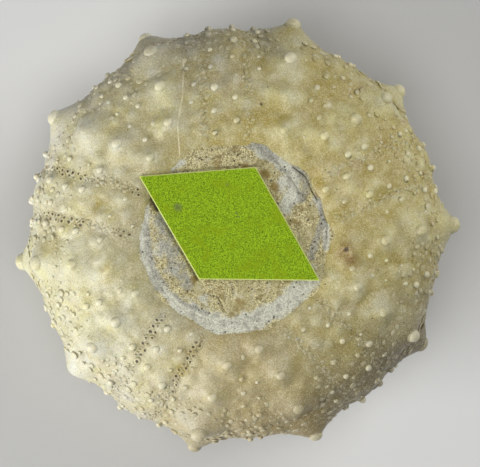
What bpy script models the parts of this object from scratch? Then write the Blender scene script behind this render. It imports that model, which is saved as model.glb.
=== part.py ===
"""A fossil regular sea urchin, resting on its worn apex with its mouth side up.

Three pieces: the calcite test with its tubercles, the sediment that plugs the
mouth opening, and the paper marker that lies on the sediment. Metres, +Z up.
"""

import math
import random

import bmesh
import bpy
import numpy as np
from mathutils import Matrix, Vector

MM = 0.001

# The test is turned from a meridian: two superellipse quarters that meet at the ambitus.
AMBITUS_RADIUS = 9.0 * MM
AMBITUS_HEIGHT = 5.1 * MM
ORAL_RISE = 4.25 * MM
ORAL_FULLNESS = 2.3
APICAL_DROP = 5.3 * MM
APICAL_FULLNESS = 2.05
MERIDIAN_SAMPLES = 2000
TANGENT_STEP = 0.01 * MM
FLAT_APEX_TOP = 0.001 * MM

# The mouth opening: its edge dips, and its outline has ten shallow gill notches.
MOUTH_RADIUS = 4.1 * MM
MOUTH_OFFSET = (-0.07 * MM, -0.18 * MM)
MOUTH_REACH = 1.5 * MM
LIP_DIP = 0.3 * MM
LIP_WIDTH = 0.5 * MM
NOTCH_DEPTH = 0.17 * MM
NOTCH_ANGLE = 15.5
NOTCH_WIDTH = 7.0
POCKET_FLOOR = 7.6 * MM

# Middles of the five interambulacra, in degrees. The ambulacra lie half way between them.
INTERAMBULACRA = (58.2, 131.0, 203.6, 275.2, 346.4)
AMBULACRUM_BULGE = 0.13 * MM
AMBULACRUM_WIDTH = 8.0

# Primary tubercles: two staggered columns in each interambulacrum, largest at the ambitus.
FIRST_PLATE = 0.95 * MM
LAST_PLATE = 13.5 * MM
WIDEST_PLATE = 7.0 * MM
PLATE_STEP = 0.66 * MM
PLATE_STEP_GAIN = 0.66 * MM
PLATE_STEP_REACH = 3.6 * MM
COLUMN_ANGLE = 16.8
COLUMN_REACH = 1.9 * MM
SMALLEST_TUBERCLE = 0.5
TUBERCLE_REACH = 4.2 * MM
SEED = 19
WANDER_ARC = 0.07 * MM
WANDER_ANGLE = 0.6
WANDER_SCALE = 0.06

# Radius and height of each ring of a full-size primary tubercle, from its top down.
PRIMARY_SIDES = 7
PRIMARY_RINGS = (
    (0.0, 0.82 * MM),
    (0.26 * MM, 0.63 * MM),
    (0.21 * MM, 0.46 * MM),
    (0.68 * MM, 0.26 * MM),
    (1.30 * MM, -0.22 * MM),
    (0.0, -0.35 * MM),
)

# Small tubercles: two rows in each ambulacrum.
SMALL_SIDES = 5
SMALL_RINGS = (
    (0.0, 0.20 * MM),
    (0.24 * MM, 0.0),
    (0.0, -0.20 * MM),
)
SMALL_STEP = 1.0 * MM
SMALL_LAST = 12.5 * MM
SMALL_ROW = 0.5 * MM

# Facets of the turned bodies.
TURN_STEPS = 54
TEST_ARCS = 13
SEAM_MERGE = 0.001 * MM

# The sediment: a plug that fits the opening, highest in the middle.
FILL_GAP = 0.04 * MM
FILL_TOP = 8.83 * MM
FILL_SHOULDER = 3.4 * MM
FILL_EDGE = 8.62 * MM

# The paper marker: a hand-cut rhombus, measured from the test's axis.
PAPER_CORNERS = (
    (-4.29 * MM, 2.57 * MM),
    (-1.65 * MM, -1.97 * MM),
    (3.68 * MM, -2.03 * MM),
    (0.85 * MM, 2.97 * MM),
)
PAPER_THICKNESS = 0.14 * MM
PAPER_BOTTOM = 8.88 * MM


def clear_scene():
    for obj in list(bpy.data.objects):
        bpy.data.objects.remove(obj)


def collection(name):
    made = bpy.data.collections.new(name)
    bpy.context.scene.collection.children.link(made)
    return made


def material(name, color, roughness):
    made = bpy.data.materials.new(name)
    made.use_nodes = True
    shader = made.node_tree.nodes["Principled BSDF"]
    shader.inputs["Base Color"].default_value = (*color, 1.0)
    shader.inputs["Roughness"].default_value = roughness
    shader.inputs["Metallic"].default_value = 0.0
    return made


def add_object(name, data, home, finish=None):
    obj = bpy.data.objects.new(name, data)
    home.objects.link(obj)
    if finish:
        data.materials.append(finish)
    return obj


def gaussian(value, width):
    return math.exp(-((value / width) ** 2))


def angle_between(a, b):
    """Degrees from b to a, the short way round."""
    return (a - b + 180) % 360 - 180


def superellipse_quarter(rise, fullness):
    turn = np.linspace(0, math.pi / 2, MERIDIAN_SAMPLES)
    radius = AMBITUS_RADIUS * np.cos(turn) ** (2 / fullness)
    height = rise * np.sin(turn) ** (2 / fullness)
    return radius, height


def meridian():
    """Arc, radius and height along the outside, from the mouth's edge to the flat apex."""
    radius, height = superellipse_quarter(ORAL_RISE, ORAL_FULLNESS)
    oral = radius > MOUTH_RADIUS
    oral_radius = np.append(radius[oral], MOUTH_RADIUS)[::-1]
    oral_height = np.interp(-oral_radius, -radius, height) + AMBITUS_HEIGHT
    oral_height -= LIP_DIP * np.exp(-(oral_radius - MOUTH_RADIUS) / LIP_WIDTH)
    radius, height = superellipse_quarter(APICAL_DROP, APICAL_FULLNESS)
    apex_radius = np.interp(AMBITUS_HEIGHT, height, radius)
    apical = height < AMBITUS_HEIGHT
    apical_radius = np.append(radius[apical], apex_radius)[1:]
    apical_height = np.append(AMBITUS_HEIGHT - height[apical], 0.0)[1:]
    radius = np.concatenate([oral_radius, apical_radius])
    height = np.concatenate([oral_height, apical_height])
    arc = np.append(0, np.cumsum(np.hypot(np.diff(radius), np.diff(height))))
    return arc, radius, height


ARC, RADIUS, HEIGHT = meridian()


def profile_at(arc):
    return float(np.interp(arc, ARC, RADIUS)), float(np.interp(arc, ARC, HEIGHT))


def bulged(point):
    """The five ambulacra stand a little proud of the turned form."""
    middle = Vector((0, 0, AMBITUS_HEIGHT))
    spoke = point - middle
    angle = math.degrees(math.atan2(point.y, point.x))
    off = min(abs(angle_between(angle, middle_line)) for middle_line in ambulacra())
    share = (math.hypot(point.x, point.y) / AMBITUS_RADIUS) ** 4
    bulge = AMBULACRUM_BULGE * share * gaussian(off, AMBULACRUM_WIDTH)
    return middle + spoke * (1 + bulge / spoke.length)


def mouth_shaped(point):
    """Gives the rings round the opening its notched outline, slightly off the axis."""
    radius = math.hypot(point.x, point.y)
    angle = math.degrees(math.atan2(point.y, point.x))
    notch = sum(
        gaussian(angle_between(angle, middle + side * NOTCH_ANGLE), NOTCH_WIDTH)
        for middle in INTERAMBULACRA
        for side in (-1, 1)
    )
    hold = min(1.0, max(0.0, 1 - (radius - MOUTH_RADIUS) / MOUTH_REACH))
    grown = 1 + hold * notch * NOTCH_DEPTH / MOUTH_RADIUS
    return Vector(
        (
            point.x * grown + hold * MOUTH_OFFSET[0],
            point.y * grown + hold * MOUTH_OFFSET[1],
            point.z,
        )
    )


def ambulacra():
    after = INTERAMBULACRA[1:] + (INTERAMBULACRA[0] + 360,)
    return [(a + b) / 2 for a, b in zip(INTERAMBULACRA, after)]


def surface_frame(arc, angle):
    """A frame on the test's outside: origin on the surface, Z along its normal."""
    radius, height = profile_at(arc)
    before = profile_at(arc - TANGENT_STEP)
    after = profile_at(arc + TANGENT_STEP)
    along = Vector((after[0] - before[0], 0, after[1] - before[1])).normalized()
    normal = Vector((-along.z, 0, along.x))
    across = normal.cross(along)
    spot = bulged(Matrix.Rotation(math.radians(angle), 3, "Z") @ Vector((radius, 0, height)))
    turned = Matrix((along, across, normal)).transposed()
    turned = Matrix.Rotation(math.radians(angle), 3, "Z") @ turned
    return Matrix.Translation(spot) @ turned.to_4x4()


def primary_places():
    """Arc, angle and scale of each primary tubercle, its columns staggered by one plate."""
    dice = random.Random(SEED)
    places = []
    arc = FIRST_PLATE
    side = 1
    while arc < LAST_PLATE:
        growth = gaussian(arc - WIDEST_PLATE, TUBERCLE_REACH)
        scale = SMALLEST_TUBERCLE + (1 - SMALLEST_TUBERCLE) * growth
        spread = COLUMN_ANGLE * (1 - math.exp(-arc / COLUMN_REACH))
        for middle in INTERAMBULACRA:
            own_arc = arc + WANDER_ARC * dice.uniform(-1, 1)
            own_angle = middle + side * spread + WANDER_ANGLE * dice.uniform(-1, 1)
            own_scale = scale * (1 + WANDER_SCALE * dice.uniform(-1, 1))
            places.append((own_arc, own_angle, own_scale))
        arc += PLATE_STEP + PLATE_STEP_GAIN * gaussian(arc - WIDEST_PLATE, PLATE_STEP_REACH)
        side = -side
    return places


def small_places():
    """Arc, angle and scale of each ambulacral tubercle, in two staggered rows."""
    places = []
    arc = SMALL_STEP / 2
    side = 1
    while arc < SMALL_LAST:
        radius, _ = profile_at(arc)
        spread = math.degrees(SMALL_ROW / radius)
        for middle in ambulacra():
            places.append((arc, middle + side * spread, 1.0))
        arc += SMALL_STEP / 2
        side = -side
    return places


def add_boss(mesh, rings, sides, frame, scale):
    """Adds one tubercle: a sphere whose rings are moved to the tubercle's own radii."""
    last = len(rings) - 1
    made = bmesh.ops.create_uvsphere(mesh, u_segments=sides, v_segments=last, radius=1)
    for vertex in made["verts"]:
        ring = round(math.acos(max(-1.0, min(1.0, vertex.co.z))) / math.pi * last)
        radius, height = rings[ring]
        outward = Vector((vertex.co.x, vertex.co.y, 0)).normalized()
        vertex.co = frame @ ((outward * radius + Vector((0, 0, height))) * scale)


def tubercles(name, home):
    mesh = bmesh.new()
    for arc, angle, scale in primary_places():
        add_boss(mesh, PRIMARY_RINGS, PRIMARY_SIDES, surface_frame(arc, angle), scale)
    for arc, angle, scale in small_places():
        add_boss(mesh, SMALL_RINGS, SMALL_SIDES, surface_frame(arc, angle), scale)
    data = bpy.data.meshes.new(name)
    mesh.to_mesh(data)
    mesh.free()
    obj = add_object(name, data, home)
    obj.hide_render = True
    obj.display_type = "WIRE"
    return obj


def turned_mesh(name, profile):
    """A closed mesh turned about Z from (radius, height) points, first to last down its outside."""
    data = bpy.data.meshes.new(name)
    points = [(radius, 0, height) for radius, height in profile]
    data.from_pydata(points, [(i, i + 1) for i in range(len(points) - 1)], [])
    obj = bpy.data.objects.new(name, data)
    bpy.context.scene.collection.objects.link(obj)
    screw = obj.modifiers.new("turn", "SCREW")
    screw.steps = TURN_STEPS
    screw.render_steps = TURN_STEPS
    screw.use_merge_vertices = True
    screw.merge_threshold = SEAM_MERGE
    graph = bpy.context.evaluated_depsgraph_get()
    turned = bpy.data.meshes.new_from_object(obj.evaluated_get(graph))
    bpy.data.objects.remove(obj)
    bpy.data.meshes.remove(data)
    turned.name = name
    return turned


def reshape(data, move):
    for vertex in data.vertices:
        vertex.co = move(vertex.co)


def test_form(point):
    """The turned test's points, save the flat apex, with its bulges and its mouth's outline."""
    if point.z < FLAT_APEX_TOP:
        return point
    return mouth_shaped(bulged(point))


def make_test(home, cutters):
    arcs = np.linspace(0, ARC[-1], TEST_ARCS)
    outside = [profile_at(arc) for arc in arcs]
    profile = [(0, POCKET_FLOOR), (MOUTH_RADIUS, POCKET_FLOOR), *outside, (0, 0)]
    data = turned_mesh("test", profile)
    reshape(data, test_form)
    finish = material("calcite", (0.60, 0.55, 0.40), 0.45)
    obj = add_object("test", data, home, finish)
    union = obj.modifiers.new("tubercles", "BOOLEAN")
    union.operation = "UNION"
    union.use_self = True
    union.object = tubercles("tubercle_bosses", cutters)
    return obj


def make_fill(home):
    wall = MOUTH_RADIUS - FILL_GAP
    bottom = POCKET_FLOOR + FILL_GAP
    profile = [
        (0, FILL_TOP),
        (FILL_SHOULDER, FILL_TOP),
        (wall, FILL_EDGE),
        (wall, bottom),
        (0, bottom),
    ]
    data = turned_mesh("sediment_fill", profile)
    reshape(data, mouth_shaped)
    return add_object("sediment_fill", data, home, material("sediment", (0.55, 0.50, 0.38), 0.9))


def make_paper(home):
    curve = bpy.data.curves.new("paper_marker", "CURVE")
    curve.dimensions = "2D"
    curve.fill_mode = "BOTH"
    curve.extrude = PAPER_THICKNESS / 2
    outline = curve.splines.new("POLY")
    outline.points.add(len(PAPER_CORNERS) - 1)
    for point, corner in zip(outline.points, PAPER_CORNERS):
        point.co = (*corner, 0, 1)
    outline.use_cyclic_u = True
    obj = add_object("paper_marker", curve, home, material("paper", (0.22, 0.40, 0.02), 0.8))
    obj.location.z = PAPER_BOTTOM + PAPER_THICKNESS / 2
    return obj


def centre_on_origin(test, pieces):
    """Puts the origin under the middle of the test's box."""
    bpy.context.view_layer.update()
    graph = bpy.context.evaluated_depsgraph_get()
    corners = np.array([list(corner) for corner in test.evaluated_get(graph).bound_box])
    middle = (corners.min(axis=0) + corners.max(axis=0)) / 2
    for piece in pieces:
        piece.location.x -= middle[0]
        piece.location.y -= middle[1]


def main():
    clear_scene()
    home = collection("fossil_sea_urchin")
    cutters = collection("cutters")
    test = make_test(home, cutters)
    pieces = [test, make_fill(home), make_paper(home)]
    centre_on_origin(test, pieces)


main()
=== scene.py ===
"""Looks of a fossil regular sea urchin, seen straight down on its mouth side.

Every piece is made round the test's own axis and then moved to where the CAD has it.
"""

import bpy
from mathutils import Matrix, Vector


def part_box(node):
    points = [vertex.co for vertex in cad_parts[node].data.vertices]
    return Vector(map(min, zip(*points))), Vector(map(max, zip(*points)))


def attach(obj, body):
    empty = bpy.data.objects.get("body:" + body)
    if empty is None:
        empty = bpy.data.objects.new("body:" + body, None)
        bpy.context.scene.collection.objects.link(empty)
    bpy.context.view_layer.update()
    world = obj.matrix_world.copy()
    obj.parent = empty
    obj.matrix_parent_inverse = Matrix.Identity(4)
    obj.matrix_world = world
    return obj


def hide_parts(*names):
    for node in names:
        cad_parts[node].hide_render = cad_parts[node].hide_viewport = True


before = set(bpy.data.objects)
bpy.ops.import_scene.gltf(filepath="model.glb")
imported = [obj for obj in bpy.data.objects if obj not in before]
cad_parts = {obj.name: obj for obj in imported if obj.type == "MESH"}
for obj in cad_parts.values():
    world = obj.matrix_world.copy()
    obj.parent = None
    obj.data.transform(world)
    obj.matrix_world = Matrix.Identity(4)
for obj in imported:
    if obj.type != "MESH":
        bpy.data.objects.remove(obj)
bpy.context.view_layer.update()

import math
import random

import bpy
import numpy as np
from mathutils import Vector, noise

MM = 0.001


def in_mm(*pairs):
    return tuple((first * MM, second * MM) for first, second in pairs)


# ---------------- the form, as in the CAD

AMBITUS_RADIUS = 9.0 * MM
AMBITUS_HEIGHT = 5.1 * MM
ORAL_RISE = 4.25 * MM
ORAL_FULLNESS = 2.3
APICAL_DROP = 5.3 * MM
APICAL_FULLNESS = 2.05
MERIDIAN_SAMPLES = 2000
TANGENT_STEP = 0.01 * MM

MOUTH_RADIUS = 4.1 * MM
MOUTH_OFFSET = (-0.07 * MM, -0.18 * MM)
MOUTH_REACH = 1.5 * MM
LIP_DIP = 0.3 * MM
LIP_WIDTH = 0.5 * MM
NOTCH_DEPTH = 0.17 * MM
NOTCH_ANGLE = 15.5
NOTCH_WIDTH = 7.0
POCKET_FLOOR = 7.6 * MM

INTERAMBULACRA = (58.2, 131.0, 203.6, 275.2, 346.4)
AMBULACRUM_BULGE = 0.13 * MM
AMBULACRUM_WIDTH = 8.0

FIRST_PLATE = 0.95 * MM
LAST_PLATE = 13.5 * MM
WIDEST_PLATE = 7.0 * MM
PLATE_STEP = 0.66 * MM
PLATE_STEP_GAIN = 0.66 * MM
PLATE_STEP_REACH = 3.6 * MM
COLUMN_ANGLE = 16.8
COLUMN_REACH = 1.9 * MM
SMALLEST_TUBERCLE = 0.5
TUBERCLE_REACH = 4.2 * MM
SEED = 19
WANDER_ARC = 0.07 * MM
WANDER_ANGLE = 0.6
WANDER_SCALE = 0.06

SMALL_STEP = 1.0 * MM
SMALL_LAST = 12.5 * MM
SMALL_ROW = 0.5 * MM
SMALL_WANDER = 0.1 * MM
SMALL_SPREADS = (0.8, 1.15)
SMALL_SIZES = (0.5, 0.7, 0.85, 1.0, 1.15)

FILL_GAP = 0.04 * MM
FILL_TOP = 8.83 * MM
FILL_SHOULDER = 3.4 * MM
LAP = 0.2 * MM

PAPER_CORNERS = in_mm(
    (-4.29, 2.57), (-1.65, -1.97), (3.68, -2.03), (0.85, 2.97),
)
PAPER_THICKNESS = 0.14 * MM
PAPER_BOTTOM = 8.88 * MM

# ---------------- the fine surface

# The shell's grid: rows from the mouth to the ambitus, on to the apex, and over the flat.
SHELL_SIDES = 560
ORAL_ROWS = 82
APICAL_ROWS = 58
APEX_ROWS = 12
APEX_CENTRE = 0.15 * MM
# The relief fades out towards the lip and towards the flat apex.
LIP_FADE = 0.25 * MM
APEX_FADE = 0.5 * MM
# The pocket's wall and its rounded lip: how far inside the mouth's edge, and how far below it.
POCKET_CENTRE = 2.0 * MM
LIP_ROUNDING = in_mm((0.05, 0.25), (0.045, 0.08), (0.025, 0.025))

# A primary boss is a low cone with concave feet, and its knob is a worn dome with a flared foot.
BOSS_REACH = 1.75 * MM
BOSS_HEIGHT = 0.57 * MM
BOSS_BEND = 0.95
CONE_REACH = 0.8 * MM
CONE_HEIGHT = 0.14 * MM
CONE_BEND = 1.0
KNOB_SIDES = 22
KNOB_RINGS = in_mm(
    (0.0, 0.9), (0.12, 0.885), (0.22, 0.84), (0.29, 0.77), (0.325, 0.69),
    (0.345, 0.625), (0.38, 0.555), (0.43, 0.49), (0.5, 0.36), (0.0, 0.20),
)
KNOB_NECK = 0.64 * MM
KNOB_WHITE = (0.05, 0.75)
KNOB_LIFT = 1.0
# Every tubercle is white from about its neck up, and painted shade darkens it from its neck to its
# foot.
NECK_BELOW = 0.03 * MM
NECK_ABOVE = 0.05 * MM
FOOT_FADE = 0.06 * MM
FOOT_SHADE = 0.32
TUBERCLE_HIGH = 0.8
TUBERCLE_UNEVEN = (0.93, 1.07)

# Ambulacral and secondary tubercles: a low mound with a bead on it.
MOUND_REACH = 0.48 * MM
MOUND_HEIGHT = 0.085 * MM
MOUND_BEND = 1.0
BEAD_SIDES = 11
BEAD_RINGS = in_mm(
    (0.0, 0.26), (0.085, 0.24), (0.14, 0.18), (0.15, 0.13), (0.14, 0.1),
    (0.21, 0.03), (0.0, -0.05),
)
BEAD_NECK = 0.09 * MM
BEAD_WHITE = (0.2, 1.0)
BEAD_LIFT = 0.75

# Secondary tubercles stand by an interambulacrum's middle and, where it is wide, by the pores too.
SECTOR_HALF = 36
SECONDARY_STEP = 0.85 * MM
SECONDARY_MIDDLE = 0.35 * MM
SECONDARY_FROM_PORES = 0.45 * MM
SECONDARY_ROOM = 1.5 * MM
SECONDARY_WIDE = 6 * MM
SECONDARY_WANDER = (0.2 * MM, 0.15 * MM)
SECONDARY_SIZES = (0.4, 1.05)
SECONDARY_CLEAR = 0.75 * MM

# What small tubercles and granules keep clear of the paper's outline, seen from above.
PAPER_CLEAR = 0.2 * MM

# Low worn swellings between the bosses on the mouth side.
SWELLING_TRIES = 900
SWELLING_SPACING = 0.62 * MM
SWELLING_REACH = 0.55 * MM
SWELLING_HEIGHT = 0.10 * MM
SWELLING_WHITE = 0.4
SWELLING_INNER = 0.25
SWELLING_SIZES = (0.6, 1.2)
SWELLING_CLEAR = 0.8 * MM

# The rough surface of the calcite: its height, and how large its coarse and fine lumps are.
ROUGHNESS = 0.023 * MM
COARSE_LUMPS = 1.2 * MM
FINE_LUMPS = 0.42 * MM

# Miliary granules fill what the bosses leave free. Their rings go from a radius of 1 at the foot.
GRANULE_TRIES = 24000
GRANULE_SIDES = 8
GRANULE_RINGS = ((0.0, 0.4), (0.45, 0.35), (0.85, 0.18), (1.25, -0.06), (0.0, -0.5))
GRANULE_RADII = (0.08 * MM, 0.18 * MM)
GRANULE_SKEW = 1.5
GRANULE_SPACING = 0.26 * MM
GRANULE_STOPS = 200
GRANULE_WANDER = 0.02 * MM
GRANULE_CLEAR = 0.85 * MM
GRANULE_BEAD_CLEAR = 0.26 * MM
GRANULE_WHITE = 0.6
GRANULE_ENDS = (0.3 * MM, 0.4 * MM)
# Those of the mouth side are worn and sparse, least so near the edge and on the dense sides, each
# an angle in degrees and how sharply it fades.
DENSE_SIDES = ((185, 16), (300, 3))
WORN_FROM = 6.8 * MM
WORN_TO = 9.2 * MM
WORN_SIZE = 0.6
WORN_LIFT = 0.65
WORN_SHARE = -0.1
GRANULE_LEAST = 0.2

# Stamped shapes vary this much in each of their three directions.
UNEVEN = (0.8, 1.2)

# Pore pairs run in a sunken zone each side of every ambulacrum. A pore is a shallow cup with a
# raised rim and a floor painted dark as shade.
PORE_ZONE = 1.0 * MM
PORE_ZONE_TAPER = 0.25
PORE_ZONE_WIDTH = 0.3 * MM
PORE_ZONE_SINK = 0.05 * MM
PORE_FIRST = 0.6 * MM
PORE_LAST = 13.4 * MM
PORE_PITCH = 0.32 * MM
PORE_SPLIT = 0.2 * MM
PORE_SLANT = 0.07 * MM
PORE_STRETCH = 0.75 * MM
PORE_PATCHY = 0.3
PORE_WANDER = (0.04 * MM, 0.03 * MM)
PORE_SIZES = (0.75, 1.1)
PORE_OPENINGS = (0.5, 1.1)
PORE_PAPER_CLEAR = 0.1 * MM
PORE_SIDES = 12
PORE_RINGS = in_mm(
    (0.0, 0.01), (0.062, 0.012), (0.074, 0.024), (0.095, 0.027), (0.135, 0.014),
    (0.2, -0.03), (0.0, -0.08),
)
# A pore's floor is painted dark as shade inside this radius, and the pore is open when its share is
# over the next number.
PORE_FLOOR = 0.063 * MM
PORE_OPEN = 0.42
# The pores are closed up along the ambitus, over this length of arc to each side.
PORE_CLOSED = 1.0 * MM
# Closed pores are filled with a few grains each, spread by this arc and this angle in degrees.
PLUG_GRAINS = 3
PLUG_RADIUS = 0.072 * MM
PLUG_SIZES = (0.7, 1.3)
PLUG_SPREAD = 0.11 * MM
PLUG_TURN = 1.1
PLUG_WHITE = 0.5
# How open the pores are in each ambulacrum, in the order of ambulacra().
PORE_OPENNESS = (0.35, 1.0, 0.95, 0.45, 0.4)

# Places, in millimetres from the axis, where a tubercle has broken away: x, y, radius, depth.
SCARS = (
    (-6.01, 1.35, 0.32, 0.09), (-5.74, -1.35, 0.26, 0.10), (4.81, -0.82, 0.2, 0.14),
    (-6.50, -5.30, 0.32, 0.15), (2.24, 6.27, 0.36, 0.06), (-6.36, 4.81, 0.36, 0.05),
)
SCAR_REACH = 0.6 * MM
SCAR_FADE = 3
SCAR_RAGGED = 0.3
SCAR_LUMPS = 0.3 * MM
# The two ambulacra whose pore zones are tinted, by their angles.
OPEN_AMBULACRA = (167.3, 239.4)

# A pale hairline runs down beside the ambulacrum at the top, and thins out fast beyond its ends.
HAIRLINE = ((-2.33, 7.73), (-2.37, 6.18), (-2.59, 4.85), (-2.50, 3.52))
HAIRLINE_END = 3
OUT_OF_REACH = 20

# Heights over which the spots of colour and the bands fade out down the side.
SPOT_FADE = (3.6 * MM, 5.0 * MM)
BAND_FADE = (4.5 * MM, 6.0 * MM)

# Sides of the test with a tint: angle in degrees, and how sharply it fades. On the dark and dim
# sides it is painted shade on the rim, and on the inner side painted shade over the middle.
KHAKI_ANGLE = 35
KHAKI_INNER = 0.3
# Painted shade on the rim of these two sides, the second at this share.
DARK_SIDE = (305, 7)
DIM_SIDE = (100, 7)
DIM_SHARE = 0.42
# Painted shade over the middle of the mouth side, on this side.
INNER_SIDE = (215, 1)
WARM_SIDE = (272, 16)
CHALKY_SIDES = ((238, 16), (152, 16))
COOL_SIDE = (92, 24)
# How these tints fade with the distance from the axis, which is 1 at the widest circle.
RIM_POWER = 4
INNER_FADE = (0.8, 0.5)
COOL_FADE = (0.5, 0.75)

# Ochre stains, in millimetres from the axis: x, y, radius, strength.
OCHRE = (
    (3.9, 6.6, 0.9, 1.0), (3.4, 7.4, 0.6, 0.7), (1.8, 5.2, 0.6, 0.8), (0.4, 4.1, 0.7, 0.8),
    (-0.9, 4.1, 0.6, 0.7), (3.1, 3.3, 0.55, 0.9), (4.5, 0.9, 0.55, 1.0), (4.2, 0.3, 0.45, 1.0),
    (4.85, -0.95, 0.5, 1.0), (6.0, -0.1, 0.6, 0.7), (6.7, 0.9, 0.6, 0.7), (5.6, 2.6, 0.5, 0.8),
    (6.5, 4.0, 0.7, 0.6), (5.5, 5.0, 0.6, 0.6), (-1.2, 6.1, 0.35, 0.8), (-6.0, 1.35, 0.35, 0.9),
    (-8.3, -0.5, 0.5, 0.6), (-5.7, -1.4, 0.35, 0.6), (-2.4, -6.0, 0.3, 0.9), (5.0, -5.2, 0.8, 0.4),
    (2.6, -6.5, 0.8, 0.3), (0.3, 8.2, 0.6, 0.6), (0.5, 5.0, 0.45, 1.0), (6.45, 1.75, 0.4, 1.0),
    (2.4, 9.2, 0.5, 0.6), (4.95, -1.5, 0.3, 0.7), (3.1, 2.9, 0.28, 1.0), (3.6, 2.3, 0.28, 1.0),
    (3.95, 1.6, 0.28, 1.0), (4.2, 1.0, 0.28, 0.9),
)

# Pale, milky patches where the calcite is clean: x, y, radius, strength.
VEILS = (
    (2.7, 4.4, 0.6, 0.8), (5.4, 3.7, 0.55, 0.9), (7.6, 1.0, 0.6, 0.9), (4.6, 5.1, 0.4, 0.7),
    (6.1, 6.2, 0.5, 0.7), (1.2, 6.4, 0.6, 0.5), (-0.4, 7.1, 0.5, 0.6), (5.2, 1.9, 0.45, 0.7),
    (7.2, -1.9, 0.6, 0.5), (-6.0, 2.9, 0.6, 0.6), (-3.3, 5.9, 0.5, 0.6),
)

# Grey, sugary patches between the tubercles of the top edge, partly painted shade: x, y, radius,
# strength.
SUGARY_AND_SHADE = (
    (-2.1, 8.5, 0.5, 0.8), (-1.3, 8.6, 0.4, 0.6), (1.2, 8.5, 0.5, 0.7), (2.1, 7.9, 0.3, 0.5),
)

# Rust brown stains in and below the scar on the right: x, y, radius, strength.
RUST = (
    (4.83, -0.66, 0.42, 1.0), (5.0, -1.1, 0.34, 1.2), (4.55, -0.9, 0.25, 0.8),
    (5.3, 3.1, 0.25, 0.5), (3.35, 0.55, 0.3, 0.7), (6.5, 4.1, 0.2, 0.5),
)

# Fresh white chips and dark dots on the test: x, y, radius, strength.
CHIPS = (
    (4.10, 5.70, 0.13, 1.3), (2.2, 4.8, 0.14, 0.8), (3.8, 4.45, 0.12, 0.9),
)
DOTS = (
    (1.09, 5.74, 0.08, 0.9), (3.92, -7.34, 0.08, 0.9), (4.83, -0.66, 0.12, 1.0),
    (-3.2, -7.6, 0.08, 0.6),
)

# The sediment's surface: the height and size of its lumps and grains, and its thin, patchy edge.
SEDIMENT_SIDES = 360
SEDIMENT_ROWS = 120
SEDIMENT_CENTRE = 0.01
SEDIMENT_LUMPS = (0.05 * MM, 0.9 * MM)
SEDIMENT_GRAINS = (0.03 * MM, 0.2 * MM)
SEDIMENT_GAP = 0.02 * MM
EDGE_WIDTH = 0.1 * MM
EDGE_DROP = 0.1 * MM
LAP_HEIGHT = 0.04 * MM
LAP_PATCHES = 0.5 * MM
LAP_PATCHY = 2

# The paper's fine grid, and the height and size of its slight waves.
PAPER_STEPS = 60
PAPER_WAVES = (0.008 * MM, 1.2 * MM)

# Chalky and slate grey bands of the sediment: half width, strength, points.
CHALK_BANDS = (
    (0.3, 1.0,
     ((-4.05, 1.2), (-4.15, 0.0), (-3.95, -1.2), (-3.35, -2.3), (-2.4, -3.3), (-1.3, -3.95))),
    (0.55, 1.0,
     ((-2.0, -3.35), (-1.2, -3.8), (-0.2, -4.0), (1.0, -3.7), (2.3, -2.95), (3.2, -2.0))),
    (0.45, 1.0, ((1.1, 3.7), (1.8, 3.4), (2.4, 2.7), (2.5, 1.8), (2.2, 1.2))),
    (0.2, 0.9, ((3.5, 1.6), (3.95, 0.6), (3.95, -0.6))),
    (0.2, 1.0, ((-3.3, 2.7), (-2.4, 3.15))),
)
GREY_BANDS = (
    (0.22, 0.8,
     ((-3.95, 0.4), (-3.85, -0.9), (-3.6, -1.6), (-2.9, -2.5), (-2.2, -3.1), (-1.3, -3.45))),
    (0.6, 0.75, ((-3.3, 0.8), (-3.0, -0.6), (-2.3, -2.1))),
    (0.3, 0.6, ((-0.6, -3.9), (0.4, -3.85), (1.2, -3.3))),
    (0.3, 0.9, ((0.3, 4.05), (1.1, 3.85), (1.7, 3.3))),
    (0.3, 0.9, ((2.6, 3.0), (3.1, 2.3), (2.9, 1.6))),
    (0.25, 0.9, ((3.75, 1.5), (3.85, 0.7), (3.5, -0.3), (3.3, -1.0))),
)
# Cracks in the sediment and along its edge, and the paper's shadow beside its left and top edges,
# all sunk a little and painted dark as shade: half width, strength, points.
CRACK_DEPTH = 0.14 * MM
CRACKS_AND_PAPER_SHADOW = (
    (0.035, 0.9, ((2.48, 2.97), (3.04, 2.53), (3.26, 1.97), (3.55, 1.5))),
    (0.03, 0.8, ((-0.82, -2.75), (-0.72, -2.95), (-0.62, -3.2))),
    # The next three lines are the paper's painted shadow beside its left and top edges.
    (0.1, 1.1, ((-3.80, 1.66), (-3.47, 1.08))),
    (0.05, 0.6, ((-3.47, 1.08), (-2.6, -0.42), (-1.7, -1.97))),
    (0.05, 0.5, ((-3.4, 2.68), (-1.5, 2.86), (0.8, 3.02))),
    (0.03, 0.3, ((-3.7, -1.8), (-2.9, -2.85), (-2.1, -3.45), (-1.2, -3.75))),
    (0.03, 0.6, ((1.2, 4.0), (1.9, 3.72), (2.48, 3.1))),
    (0.04, 0.55, ((1.75, 3.2), (2.35, 2.5), (2.75, 1.9), (3.2, 1.4))),
    (0.035, 0.6, ((3.6, -1.2), (3.95, -0.4), (3.98, 0.5), (3.8, 1.1))),
)
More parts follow.
